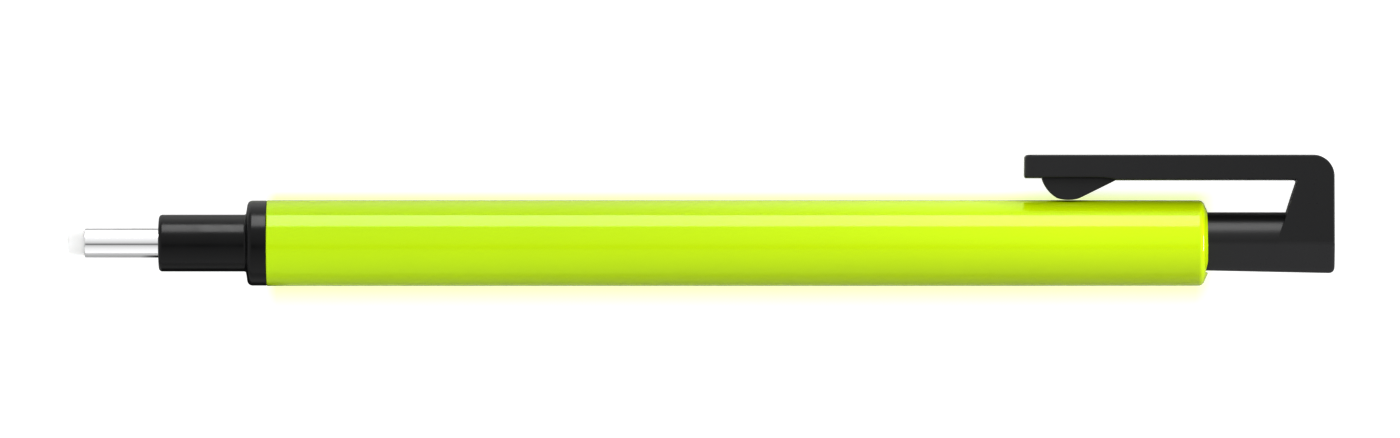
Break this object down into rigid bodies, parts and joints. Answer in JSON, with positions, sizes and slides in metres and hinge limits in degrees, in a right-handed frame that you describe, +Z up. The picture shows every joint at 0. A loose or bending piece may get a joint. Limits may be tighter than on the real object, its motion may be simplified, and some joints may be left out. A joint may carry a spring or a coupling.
{
  "type": "pencil eraser stick",
  "caption": "Slim knock-type holder for a round stick eraser: metal guide pipe, black nose, lime barrel and a black push knob with clip.",
  "frame": {"origin": "on the barrel's axis, in the plane of the guide pipe's mouth", "axes": "+X runs from the eraser end to the knob, +Y points to the clip's side, +Z is up with the holder lying on its side, so the picture looks straight down (-Z)"},
  "size_m": [0.1184, 0.0123, 0.008],
  "materials": {
    "lime_plastic": "glossy moulded lime plastic",
    "black_gloss": "glossy black moulded plastic",
    "black_satin": "satin black moulded plastic",
    "bright_metal": "bright drawn stainless tube",
    "eraser_white": "matte white elastomer",
    "soft_ring": "soft black rubber",
    "inner_plastic": "natural acetal",
    "brass_parts": "turned brass",
    "spring_steel": "drawn spring wire"
  },
  "bodies": {
    "holder": {"barrel": "lime_plastic", "nose_cap": "black_gloss", "guide_pipe": "bright_metal", "eraser_retainer": "soft_ring", "chuck_sleeve": "inner_plastic", "return_spring": "spring_steel"},
    "feed": {"chuck": "brass_parts", "chuck_connector": "inner_plastic", "eraser_tube": "inner_plastic"},
    "clutch_ring": {"chuck_ring": "brass_parts"},
    "eraser": {"eraser": "eraser_white"},
    "knob": {"knob": "black_satin"},
    "clip": {"clip_arm": "black_satin"}
  },
  "joints": [
    {"name": "knock", "type": "slide", "parent": "holder", "child": "feed", "axis": [-1, 0, 0], "range_m": [0, 0.004], "stiffness_N_per_m": 600, "springref_m": -0.005, "deforming": ["return_spring"]},
    {"name": "ring", "type": "slide", "parent": "holder", "child": "clutch_ring", "axis": [-1, 0, 0], "range_m": [0, 0.001]},
    {"name": "eraser_feed", "type": "slide", "parent": "clutch_ring", "child": "eraser", "axis": [-1, 0, 0], "range_m": [-0.0016, 0.062]},
    {"name": "knob_pull", "type": "slide", "parent": "feed", "child": "knob", "axis": [1, 0, 0], "range_m": [0, 0.014]},
    {"name": "clip_flex", "type": "hinge", "parent": "knob", "child": "clip", "pos_m": [0.112, 0.00826, 0], "axis": [0, 0, -1], "range_deg": [0, 3], "stiffness_Nm_per_rad": 1, "springref_deg": -1.15}
  ],
  "couplings": [
    {"joint": "ring", "follows": "knock", "ratio": 0.25}
  ]
}
